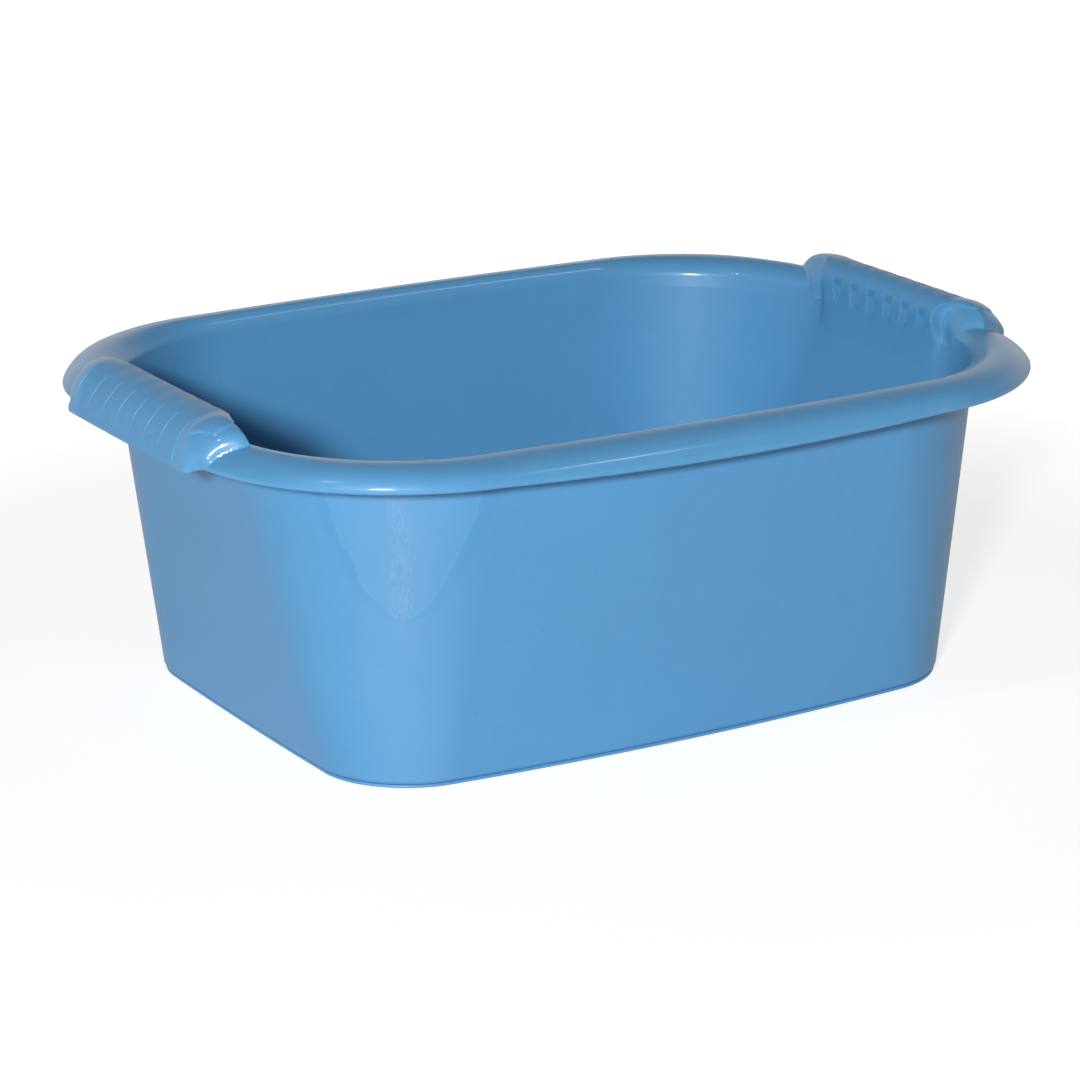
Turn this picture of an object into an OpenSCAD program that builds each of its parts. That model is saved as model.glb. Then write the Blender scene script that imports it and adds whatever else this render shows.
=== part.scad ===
// Rectangular washing up bowl: drafted basin, rolled rim, and a hooded grip at each end.
// Lengths are in millimetres. X runs along the bowl, the grips are at both ends of it,
// Z is up, and the origin is the centre of the underside.

/* [Rim] */
// Length over the rim, from lip edge to lip edge
rim_length = 400; // [370:1:460]
// Width over the rim, from lip edge to lip edge
rim_width = 298; // [270:1:340]
// Corner radius of the lip edge, seen from above
lip_corner = 90; // [70:1:105]
// Bow of the long lip edges, from their ends to their middle
lip_bow = 10; // [0:0.5:14]
// Distance from the crest of the rim out to the lip edge
rim_overhang = 16; // [11:0.5:20]
// Height of the rim's crest above the table
crest_height = 145; // [125:1:180]
// Corner radius of the crest, seen from above
crest_corner = 69; // [58:1:85]
// Bow of the long crests, from their ends to their middle
crest_bow = 9; // [0:0.5:12]
// Bow of the short sides at the crest and at the lip edge
end_bow = 2.5; // [0:0.25:6]
// Drop from the crest to the lip edge at the corners
lip_drop = 9.7; // [8:0.1:14]
// Extra drop of the lip edge at the middle of the long sides
lip_sag = 2.5; // [0:0.5:5]
// Distance from the crest in to the basin's inner face
roll_inset = 6.2; // [4:0.1:8]
// Corner radius of the basin's inner face where it meets the rim
roll_corner = 80; // [64:1:90]
// Height of the round between the inner face and the crest
roll_height = 9.5; // [6:0.5:12]
// Plastic thickness of the rim and the grips
rim_wall = 2.2; // [1.6:0.1:3]

/* [Basin] */
// Length of the foot outline
foot_length = 306; // [270:1:330]
// Width of the foot outline
foot_width = 230; // [200:1:245]
// Corner radius of the foot outline
foot_corner = 38; // [28:1:55]
// Bow of the foot's long sides
foot_bow = 9; // [0:0.5:12]
// Bow of the foot's short sides
foot_end_bow = 2; // [0:0.2:5]
// Plastic thickness of the basin's wall
basin_wall_t = 2; // [1.4:0.1:3]
// Plastic thickness of the floor
floor_t = 2.4; // [2:0.1:4]
// Radius of the round between the floor and the inner face
inner_fillet = 7; // [4:0.5:12]
// Radius of the round along the basin's lower outer edge
outer_fillet = 3; // [2:0.25:4]

/* [Foot bead] */
// Height of the bead that the bowl stands on
bead_h = 1.4; // [0.8:0.1:1.9]
// Distance from the foot outline in to the bead's outer face
bead_inset = 0.5; // [0.2:0.1:1]
// Distance from the foot outline in to the edge of the floor
floor_inset = 4; // [3.2:0.1:6]

/* [Grips] */
// Length of the straight crest of a grip
grip_flat = 100; // [80:1:110]
// Length of each domed end of a grip
grip_dome = 19.5; // [14:0.5:26]
// Length of the rounded cheek at each end of a grip's inner face
cheek_length = 28; // [18:1:34]
// Rise of a grip's crest above the rim's crest
grip_rise = 9; // [5:0.2:12]
// Distance from the rim's crest out to the grip's crest
grip_shift = 1.6; // [0:0.2:3]
// Distance from the grip's crest in to its inner face
grip_round_in = 10.3; // [8:0.1:12]
// Height of the round between the grip's inner face and its crest
grip_round_h = 12; // [9:0.5:14]
// Fullness of that round: 2 is an ellipse, more is squarer
grip_fullness = 2.8; // [2:0.1:4]
// Distance from the grip's crest out to its skirt
grip_reach = 19.5; // [15:0.5:24]
// Height of the skirt's lower edge above the table
skirt_level = 132.7; // [105:0.1:138]
// Length over which the skirt's ends run out into the lip edge
skirt_fall = 14; // [8:1:20]
// Fullness of the outer round beside a grip: 2 is an ellipse, 1 is straight
shoulder_fullness = 1.45; // [1.1:0.05:2]
// Length of that flatter shoulder on the grip
shoulder_length = 26; // [16:1:34]
// Length of that flatter shoulder along the corner
shoulder_spread = 36; // [20:1:50]
// Height at which a grip meets the basin's wall
grip_root_level = 121; // [95:1:124]

/* [Flutes] */
// Distance from one flute to the next
flute_pitch = 13.2; // [9:0.1:18]
// Width of a flute
flute_width = 6.2; // [3:0.1:7]
// Depth of a flute on the outer face
flute_depth = 0.8; // [0.3:0.1:1.2]
// Depth of a flute where it passes over the crest
ripple_depth = 0.3; // [0.1:0.1:0.6]
// Distance from the crest out to the upper end of the outer flutes
crest_band = 8.9; // [4:0.1:11]
// Plain height left between the flutes and the skirt's lower edge
flute_margin = 3.6; // [2:0.2:6]
// Depth of the ledge in each flute on the inner face
ledge_depth = 1.1; // [0.4:0.1:1.3]
// Height of the ledge above the foot of the inner round
ledge_up = 2.4; // [1:0.1:4]
// Height of the steep face above the ledge
ledge_face = 3.2; // [2:0.1:4]

/* [Fineness] */
// Steps around each rounded corner
corner_steps = 12; // [6:1:16]
// Steps along each half of a long side
side_steps = 6; // [4:1:10]

/* [Hidden] */

// Colours, as the plastic looks in daylight
shell_blue = [0.38, 0.62, 0.80];
rim_blue = [0.42, 0.66, 0.83];
grip_blue = [0.35, 0.57, 0.75];
floor_blue = [0.30, 0.55, 0.74];

flute_edge = 0.3;        // width of a flute's sloping side
ellipse = 2;             // fullness of an elliptical round
ledge_foot = 0.75;       // place of the ledge's foot, between the wall joint and the round
ledge_foot_depth = 0.7;  // share of its depth that the ledge has at the foot of the round
cheek_power = 4;         // power by which the top of a cheek falls away
dome_steps = 6;
roll_steps = 4;
band_steps = 2;
skirt_steps = 4;
end_angle = 4;           // angle over which a flute begins or ends, in degrees
least_step = 0.1;        // least distance between two stations of a grip

// An outline is [half length, half width, corner radius, bow of long sides, bow of short sides]
lip_line = [rim_length / 2, rim_width / 2, lip_corner, lip_bow, end_bow];
crest_line = [rim_length / 2 - rim_overhang, rim_width / 2 - rim_overhang,
    crest_corner, crest_bow, end_bow];
roll_line = [crest_line[0] - roll_inset, crest_line[1] - roll_inset, roll_corner,
    crest_bow, end_bow];
foot_line = [foot_length / 2, foot_width / 2, foot_corner, foot_bow, foot_end_bow];

roll_level = crest_height - roll_height;
joint_level = roll_level - 3;
grip_crest = crest_height + grip_rise;
lip_level = crest_height - lip_drop;

// A station is [length share, width share, corner x, corner y] of a place round the outline
function corner_at(angle) = [1, 1, cos(angle), sin(angle)];
function flip_x(s) = [-s[0], s[1], -s[2], s[3]];
function flip_y(s) = [s[0], -s[1], s[2], -s[3]];
function backwards(list) = [for (i = [len(list) - 1 : -1 : 0]) list[i]];

// Station at a distance from the middle of a short side. The bow of the long sides
// draws the ends together by a known share, and a place past the straight stretch
// lies on the corner.
end_squeeze = 1 - crest_bow / crest_line[1];
straight_end = crest_line[1] - crest_line[2];
function end_at(y) =
    let (reach = abs(y) / end_squeeze)
    reach <= straight_end
        ? [1, y / end_squeeze / straight_end, 1, 0]
        : let (turn = asin((reach - straight_end) / crest_line[2]))
            y > 0 ? corner_at(turn) : flip_y(corner_at(turn));

// Place on an outline at a station, with both pairs of sides bowed
function straight_at(line, s) = [s[0] * (line[0] - line[2]) + s[2] * line[2],
    s[1] * (line[1] - line[2]) + s[3] * line[2]];
function bowed(line, p) = [p.x * (1 - line[4] / line[0] * pow(p.y / line[1], 2)),
    p.y * (1 - line[3] / line[1] * pow(p.x / line[0], 2))];
function at(line, s, z) = let (p = bowed(line, straight_at(line, s))) [p.x, p.y, z];
function mix(a, b, share) = a + (b - a) * share;
function shrunk(line, d) = line - d * [1, 1, 1, 0, 0];

// Outlines of the basin's inner and outer faces at a height
function inner_line(z) = mix(shrunk(foot_line, basin_wall_t), roll_line, z / roll_level);
function outer_line(z) = shrunk(inner_line(z), -basin_wall_t);

// Outlines of a grip's crest, its inner face and its skirt
grip_line = shrunk(crest_line, -grip_shift);
grip_inner_line = shrunk(grip_line, grip_round_in);
skirt_line = shrunk(grip_line, -grip_reach);

// Distance of a station from the middle of a short side
function along_end(s) = (s[1] < 0 ? -1 : 1) * (abs(s[0]) < 1 ? rim_width
    : end_squeeze * (straight_end * abs(s[1]) + crest_line[2] * abs(s[3])));

// How much of a grip there is at a distance along the end: 1 on the flat, 0 past the dome.
// Its crest, its inner face and its skirt each run out over a length of their own.
grip_half = grip_flat / 2 + grip_dome;
cheek_start = grip_half - cheek_length;
function limited(u) = min(1, max(0, u));
function smooth(u) = let (v = limited(u)) v * v * (3 - 2 * v);
function grip_share(y) = sqrt(1 - pow(1 - limited((grip_half - abs(y)) / grip_dome), 2));
function cheek_share(y) = (grip_half - abs(y)) / cheek_length;
function skirt_share(y) = smooth((grip_half - abs(y)) / skirt_fall);
function shoulder_share(y) = smooth((abs(y) - grip_half + shoulder_length) / skirt_fall)
    * smooth((grip_half + shoulder_spread - abs(y)) / shoulder_length);

// As many flutes as the flat crest holds
flute_count = floor((grip_flat - flute_width - flute_edge) / flute_pitch) + 1;
function flute_middle(i) = (i - (flute_count - 1) / 2) * flute_pitch;
function in_flute(y) =
    len([for (i = [0 : flute_count - 1]) if (abs(y - flute_middle(i)) < flute_width / 2) i]) > 0;
function has_ledge(y) = in_flute(y) && abs(y) < cheek_start;

// Height at which the rim and the grips meet the basin's wall
function wall_root(s) = mix(joint_level, grip_root_level,
    smooth((grip_half - abs(along_end(s))) / grip_dome));

// Height of the lip edge, which hangs lower along the middle of the long sides
function lip_at(s) = lip_level - lip_sag * (1 - s[0] * s[0]);

// Round between two directions: 2 is a quarter of an ellipse, more is squarer
function full_cos(angle, n) = pow(max(0, cos(angle)), 2 / n);
function full_sin(angle, n) = pow(max(0, sin(angle)), 2 / n);

// Angles of the points on the inner round, counted up from its foot, with the ledge and
// the top of the face above it first
function round_angle(height) = asin(pow(height / grip_round_h, grip_fullness / 2));
ledge_angle = round_angle(ledge_up);
face_angle = round_angle(ledge_up + ledge_face);
inner_angles = concat([0, ledge_angle],
    [for (k = [0 : roll_steps - 1]) mix(face_angle, 90, k / roll_steps)]);
function inner_cut(angle, y) = !in_flute(y) ? 0 : angle >= face_angle ? ripple_depth
    : !has_ledge(y) ? 0 : ledge_depth * (angle > 0 ? 1 : ledge_foot_depth);

// Angles of the points from the crest to the lower edge, counted from the crest: a plain
// band, the flutes, and a margin
band_angle = asin(crest_band / grip_reach);
margin_angle = acos(min(0.5, flute_margin / (grip_crest - skirt_level)));
outer_angles = concat(
    [for (k = [0 : band_steps]) band_angle * k / band_steps],
    [for (k = [0 : skirt_steps])
        mix(band_angle + end_angle, margin_angle, k / skirt_steps)],
    [margin_angle + end_angle, 90]);
function outer_cut(angle, y) = !in_flute(y) || angle > margin_angle ? 0
    : angle <= band_angle ? ripple_depth
    : mix(flute_depth, ripple_depth, (angle - band_angle) / (margin_angle - band_angle));

// Section of the rim or a grip at a station, from the wall up over the crest and out to
// the lip. The depth is 0 on the outer surface and the plastic's thickness on the underside.
function section(s, depth) =
    let (
        y = along_end(s),
        share = grip_share(y),
        cheek = cheek_share(y),
        crest = mix(crest_line, grip_line, share),
        crest_z = mix(crest_height, grip_crest, share),
        inner = mix(roll_line, grip_inner_line, smooth(cheek)),
        inner_z = mix(roll_level, grip_crest - grip_round_h, pow(limited(cheek), cheek_power)),
        inner_fullness = mix(ellipse, grip_fullness, smooth(cheek)),
        outer_fullness = mix(ellipse, shoulder_fullness, shoulder_share(y)),
        edge = mix(lip_line, skirt_line, skirt_share(y)),
        edge_z = mix(lip_at(s), skirt_level, skirt_share(y)),
        root_z = wall_root(s),
        root = depth > 0 ? outer_line(root_z) : inner_line(root_z),
        under = shrunk(inner, -depth)
    )
    concat(
        [at(root, s, root_z),
            at(mix(root, under, ledge_foot), s, mix(root_z, inner_z, ledge_foot))],
        [for (angle = inner_angles)
            let (cut = depth > 0 ? depth : inner_cut(angle, y))
            at(mix(crest, shrunk(inner, -cut), full_cos(angle, inner_fullness)), s,
                mix(inner_z, crest_z - cut, full_sin(angle, inner_fullness)))],
        [for (angle = outer_angles)
            let (cut = depth > 0 ? depth : outer_cut(angle, y))
            at(mix(crest, shrunk(edge, cut), full_sin(angle, outer_fullness)), s,
                mix(edge_z, crest_z - cut, full_cos(angle, outer_fullness)))]
    );

// Numbers in rising order, without those that follow another one too closely
function sorted(list) = len(list) < 2 ? list
    : let (middle = list[floor(len(list) / 2)])
        concat(sorted([for (v = list) if (v < middle) v]), [middle],
            sorted([for (v = list) if (v > middle) v]));
function spaced(list) = [for (i = [0 : len(list) - 1])
    if (i == 0 || list[i] - list[i - 1] > least_step) list[i]];

// Stations of a grip from its front end to its back end, and of the rims beside the grips
dome_places = [for (k = [0 : dome_steps]) grip_flat / 2 + grip_dome * sin(90 * k / dome_steps)];
flute_places = [for (i = [0 : flute_count - 1], side = [-1, 1], edge = [-1, 1])
    flute_middle(i) + side * flute_width / 2 + edge * flute_edge / 2];
grip_places = spaced(sorted(concat(flute_places,
    [for (y = concat([cheek_start], dome_places), side = [-1, 1]) side * y])));
grip_stations = [for (y = grip_places) end_at(y)];

grip_end = grip_half / end_squeeze - straight_end;
corner_start = asin(max(0, grip_end) / crest_line[2]);
quarter_stations = concat(
    [end_at(grip_half)],
    [for (k = [(grip_end < 0 ? 0 : 1) : corner_steps])
        corner_at(mix(corner_start, 90, k / corner_steps))],
    [for (k = [1 : side_steps]) [1 - k / side_steps, 1, 0, 1]]);
back_stations = concat(quarter_stations,
    [for (i = [len(quarter_stations) - 2 : -1 : 0]) flip_x(quarter_stations[i])]);
front_stations = backwards([for (s = back_stations) flip_y(s)]);
left_stations = [for (s = backwards(grip_stations)) flip_x(s)];

// The whole way round, without naming a shared station twice
function inside(list) = [for (i = [1 : len(list) - 1]) list[i]];
ring_stations = concat(inside(grip_stations), inside(back_stations),
    inside(left_stations), inside(front_stations));

// Faces of a strip between the same two points of neighbouring sections
function strip(a0, a1, b0, b1) = [[a0, b1, b0], [a0, a1, b1]];

// Solid with closed sections, each one the next one's neighbour. A closed ring joins
// its last section to its first one, and an open run is capped with matching strips.
module loft(sections, ring) {
    count = len(sections);
    size = len(sections[0]);
    half = size / 2;
    last = ring ? count - 1 : count - 2;
    skin = [for (i = [0 : last], j = [0 : size - 1])
        let (a = i * size, b = ((i + 1) % count) * size, next = (j + 1) % size)
        each strip(a + j, a + next, b + j, b + next)];
    end = (count - 1) * size;
    caps = ring ? [] : [for (j = [0 : half - 2])
        each concat(strip(size - 1 - j, size - 2 - j, j, j + 1),
            strip(end + j, end + j + 1, end + size - 1 - j, end + size - 2 - j))];
    polyhedron([for (one = sections) each one], concat(skin, caps), convexity = 8);
}

// Closed section of the rim or a grip: its underside, then its outer surface back again
function rolled(s) = concat(section(s, rim_wall), backwards(section(s, 0)));

// Closed section of the basin's wall, from the bead up the outer face and down the inner
// face to the round that runs out on the floor
function wall_section(s) =
    let (top = wall_root(s))
    concat(
        [for (angle = [30, 60, 90])
            at(shrunk(outer_line(bead_h + outer_fillet * (1 - cos(angle))),
                outer_fillet * (1 - sin(angle))), s,
                bead_h + outer_fillet * (1 - cos(angle)) - outer_fillet * (1 - cos(30)))],
        [at(outer_line(top), s, top), at(inner_line(top), s, top)],
        [for (angle = [90, 60, 30, 0])
            let (z = floor_t + inner_fillet * (1 - cos(angle)))
            at(shrunk(inner_line(z), inner_fillet * (1 - sin(angle))), s, z)],
        [at(floor_line, s, floor_t), at(floor_line, s, bead_h)]
    );

floor_line = shrunk(foot_line, floor_inset);
function flat(line) = [for (s = ring_stations) let (p = at(line, s, 0)) [p.x, p.y]];

module basin_floor() {
    color(floor_blue)
        linear_extrude(floor_t)
            polygon(flat(floor_line));
}

module foot_bead() {
    color(rim_blue)
        linear_extrude(bead_h)
            difference() {
                polygon(flat(shrunk(foot_line, bead_inset)));
                polygon(flat(floor_line));
            }
}

module basin_wall() {
    color(shell_blue)
        loft([for (s = ring_stations) wall_section(s)], true);
}

module rim(stations) {
    color(rim_blue)
        loft([for (s = stations) rolled(s)], false);
}

module grip(stations) {
    color(grip_blue)
        loft([for (s = stations) rolled(s)], false);
}

basin_floor();
foot_bead();
basin_wall();
rim(front_stations);  // front_rim
rim(back_stations);  // back_rim
grip(left_stations);  // left_grip
grip(grip_stations);  // right_grip
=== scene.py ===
"""Washing up bowl in blue moulded plastic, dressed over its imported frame.

Lengths are in metres. X runs along the bowl, the grips are at both ends of it, Z is up, and
the origin is the centre of the underside.
"""

import logging
import math
from dataclasses import dataclass, field
from enum import Enum
from typing import Any, Callable, Iterable, Sequence, Union

import bmesh
import bpy
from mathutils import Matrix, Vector, noise


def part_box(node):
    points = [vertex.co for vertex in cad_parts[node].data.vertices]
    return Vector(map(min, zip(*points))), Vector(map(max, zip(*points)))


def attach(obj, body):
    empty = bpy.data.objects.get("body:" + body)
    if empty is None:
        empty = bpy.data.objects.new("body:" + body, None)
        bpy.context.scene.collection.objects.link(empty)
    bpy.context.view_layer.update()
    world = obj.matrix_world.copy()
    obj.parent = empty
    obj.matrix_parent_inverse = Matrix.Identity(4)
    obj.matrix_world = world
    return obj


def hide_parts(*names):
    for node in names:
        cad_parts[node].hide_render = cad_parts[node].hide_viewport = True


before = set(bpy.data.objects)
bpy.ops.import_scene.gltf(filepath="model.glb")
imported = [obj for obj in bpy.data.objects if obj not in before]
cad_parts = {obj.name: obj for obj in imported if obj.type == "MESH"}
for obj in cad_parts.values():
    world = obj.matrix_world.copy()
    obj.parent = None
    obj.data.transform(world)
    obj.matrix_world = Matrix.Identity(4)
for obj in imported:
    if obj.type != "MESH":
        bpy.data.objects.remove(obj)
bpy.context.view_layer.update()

LOG = logging.getLogger("bowl")
MM = 0.001
BODY = "root"
PHOTO_PIXELS = 1080
SENSOR_WIDTH = 36.0
SHARP_ANGLE = math.radians(38)
JOIN_DISTANCE = 0.002 * MM
ELLIPSE = 2.0

Number = Union[int, float]


def mix(a: float, b: float, share: float) -> float:
    """Return the number that lies at a share of the way from a to b."""
    return a + (b - a) * share


def limited(value: float) -> float:
    """Return the value, kept between 0 and 1."""
    return min(1.0, max(0.0, value))


def smooth(value: float) -> float:
    """Return a soft step that rises from 0 to 1 as the value does."""
    held = limited(value)
    return held * held * (3 - 2 * held)


def spread(start: float, end: float, steps: int) -> list[float]:
    """Return evenly spaced numbers from start to end, both included."""
    return [mix(start, end, i / steps) for i in range(steps + 1)]


def thinned(values: Iterable[float], least: float) -> list[float]:
    """Sort numbers and drop those that follow another one too closely.

    Args:
        values: Numbers in any order.
        least: Least distance to keep between neighbours.

    Returns:
        The kept numbers in rising order.
    """
    kept: list[float] = []
    for value in sorted(values):
        if not kept or value - kept[-1] > least:
            kept.append(value)
    return kept


class End(Enum):
    """The two ends of the bowl, with the sign of their X."""

    LEFT = -1
    RIGHT = 1


class Side(Enum):
    """The two long sides of the bowl, with the sign of their Y."""

    FRONT = -1
    BACK = 1


@dataclass(frozen=True)
class Station:
    """A place round an outline, in shares of its straight stretches and its corner radius."""

    along: float
    across: float
    corner_x: float
    corner_y: float

    def flipped(self, x_sign: int, y_sign: int) -> "Station":
        """Return the same place in another quarter of the outline."""
        return Station(self.along * x_sign, self.across * y_sign,
                       self.corner_x * x_sign, self.corner_y * y_sign)


@dataclass(frozen=True)
class Outline:
    """A rectangle with round corners, whose sides bow outwards."""

    half_length: float
    half_width: float
    corner: float
    long_bow: float
    short_bow: float

    def grown(self, distance: float) -> "Outline":
        """Return the outline that runs at a distance outside this one."""
        return Outline(self.half_length + distance, self.half_width + distance,
                       self.corner + distance, self.long_bow, self.short_bow)

    def toward(self, other: "Outline", share: float) -> "Outline":
        """Return the outline that lies at a share of the way to another one."""
        return Outline(*(mix(a, b, share) for a, b in zip(self.values(), other.values())))

    def values(self) -> tuple[float, ...]:
        """Return the outline's numbers in the order of its fields."""
        return (self.half_length, self.half_width, self.corner, self.long_bow, self.short_bow)

    def place(self, station: Station, height: float) -> Vector:
        """Return the point of the outline at a station.

        Args:
            station: The place round the outline.
            height: The point's height above the table.

        Returns:
            The point, with the sides' bows worked in.
        """
        x = station.along * (self.half_length - self.corner) + station.corner_x * self.corner
        y = station.across * (self.half_width - self.corner) + station.corner_y * self.corner
        x_share, y_share = x / self.half_length, y / self.half_width
        return Vector((x * (1 - self.short_bow / self.half_length * y_share ** 2),
                       y * (1 - self.long_bow / self.half_width * x_share ** 2), height))


@dataclass(frozen=True)
class Spot:
    """A point of a section, as an outline and a height, so that it fits every station."""

    line: Outline
    z: float

    def toward(self, other: "Spot", share: float) -> "Spot":
        """Return the spot that lies at a share of the way to another one."""
        return Spot(self.line.toward(other.line, share), mix(self.z, other.z, share))

    def moved(self, outward: float, up: float) -> "Spot":
        """Return the spot, moved by the given distances."""
        return Spot(self.line.grown(outward), self.z + up)


@dataclass(frozen=True)
class BowlSizes:
    """Driving sizes of the moulding. Its reach in each direction comes from the frame."""

    rim_half_width: float = field(default_factory=lambda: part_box("back_rim")[1][1])
    crest_height: float = field(default_factory=lambda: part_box("back_rim")[1][2])
    grip_crest: float = field(default_factory=lambda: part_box("right_grip")[1][2])
    grip_root: float = field(default_factory=lambda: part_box("right_grip")[0][2])
    grip_half_length: float = field(default_factory=lambda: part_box("right_grip")[1][1])
    skirt_reach: float = field(default_factory=lambda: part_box("right_grip")[1][0])
    rim_joint: float = field(default_factory=lambda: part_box("back_rim")[0][2])
    floor_thickness: float = field(default_factory=lambda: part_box("basin_floor")[1][2])
    bead_height: float = field(default_factory=lambda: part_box("foot_bead")[1][2])
    rim_half_length: float = 200 * MM
    rim_overhang: float = 16 * MM
    lip_corner: float = 90 * MM
    lip_bow: float = 10 * MM
    crest_corner: float = 69 * MM
    crest_bow: float = 9 * MM
    end_bow: float = 2.5 * MM
    lip_drop: float = 9.7 * MM
    lip_sag: float = 2.5 * MM
    roll_inset: float = 6.2 * MM
    roll_corner: float = 80 * MM
    roll_height: float = 9.5 * MM
    rim_wall: float = 2.2 * MM
    foot_half_length: float = 153 * MM
    foot_half_width: float = 115 * MM
    foot_corner: float = 38 * MM
    foot_bow: float = 9 * MM
    foot_end_bow: float = 2 * MM
    basin_wall: float = 2 * MM
    inner_fillet: float = 7 * MM
    outer_fillet: float = 3 * MM
    bead_inset: float = 0.5 * MM
    floor_inset: float = 4 * MM
    roll_start: float = 17.0
    seam_height: float = 0.14 * MM
    seam_angle: float = 80.0
    seam_width: float = 3.5
    seam_scale: float = 210.0
    seam_base: float = 0.3
    seam_contrast: float = 1.6


@dataclass(frozen=True)
class GripSizes:
    """Driving sizes of a hooded grip, with its flutes, ledges and domed ends."""

    flat: float = 100 * MM
    shift: float = 1.6 * MM
    round_in: float = 10.3 * MM
    round_height: float = 12 * MM
    fullness: float = 2.4
    skirt_level: float = 132.7 * MM
    skirt_fall: float = 14 * MM
    ledge_half_length: float = 41.5 * MM
    shoulder_fullness: float = 1.45
    shoulder_length: float = 24.7 * MM
    shoulder_spread: float = 42 * MM
    flute_pitch: float = 13.2 * MM
    flute_width: float = 6.2 * MM
    flute_edge: float = 0.15 * MM
    flute_depth: float = 0.26 * MM
    ripple_depth: float = 0.10 * MM
    line_depth: float = 0.05 * MM
    crest_band: float = 8.9 * MM
    flute_margin: float = 3.6 * MM
    ledge_depth: float = 1.1 * MM
    ledge_up: float = 2.4 * MM
    ledge_face: float = 3.2 * MM
    ledge_slope: float = 9 * MM
    ledge_power: float = 1.5
    end_angle: float = 5.0
    dome_foot: float = 1.5 * MM
    dome_softness: float = 0.12
    dome_retreat: float = 3.5 * MM
    ball_length: float = 30 * MM
    ball_power: float = 2.2
    flute_fullness: float = 1.8
    flute_fade: float = 8 * MM
    skirt_margin: float = 3 * MM
    skirt_angle: float = 60.0
    joint_softness: float = 14 * MM
    joint_limit: float = 0.8
    arc_half_length: float = 61.5 * MM
    arc_outer_start: float = 43.6 * MM
    arc_inner_start: float = 41 * MM
    arc_far_shift: float = 6.5 * MM
    arc_outer_angle: float = 30.0
    arc_inner_angle: float = 14.0
    arc_power: float = 3.4
    arc_step: float = 0.55 * MM
    arc_softness: float = 0.4 * MM
    arc_low_level: float = 134.6 * MM
    arc_low_height: float = 9.6 * MM
    arc_low_length: float = 22 * MM
    arc_low_slope: float = 9.0
    seam_height: float = 0.26 * MM
    seam_width: float = 2.0
    seam_scale: float = 420.0
    seam_row: float = 7.7
    seam_base: float = 0.35
    seam_contrast: float = 1.5
    wander_scale: float = 90.0
    wander_row: float = 3.1


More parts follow.
